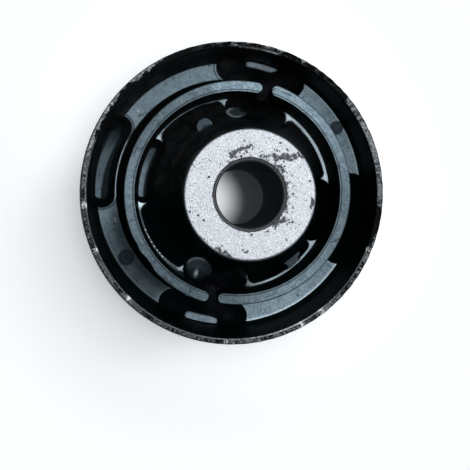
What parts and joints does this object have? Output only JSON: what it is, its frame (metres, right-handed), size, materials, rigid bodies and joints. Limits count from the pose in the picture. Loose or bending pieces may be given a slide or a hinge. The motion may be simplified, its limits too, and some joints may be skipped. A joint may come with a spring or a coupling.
{
  "type": "rubber metal bush",
  "caption": "Press-in vehicle suspension bush: steel outer sleeve, off-centre bored inner sleeve, two half shells and a pocketed rubber moulding bonded between them.",
  "frame": {"origin": "on the outer sleeve's axis, in the plane of the inner sleeve's lower clamping face, on which the bush stands", "axes": "+Z along the sleeve axis towards the end shown; +X is the direction in which the inner sleeve is off-centre; the shell gaps are on +Y and -Y"},
  "size_m": [0.0694, 0.0694, 0.06],
  "materials": {
    "coated_steel": "black bonding coat worn to bare steel at the rims",
    "bare_aluminium": "blasted, with remnants of black coat",
    "coated_shell": "satin black bonding coat",
    "black_rubber": "moulded, slightly glossy"
  },
  "bodies": {
    "root": {"outer_sleeve": "coated_steel", "inner_sleeve": "bare_aluminium", "shell_east": "coated_shell", "shell_west": "coated_shell", "rubber_body": "black_rubber"}
  },
  "joints": []
}
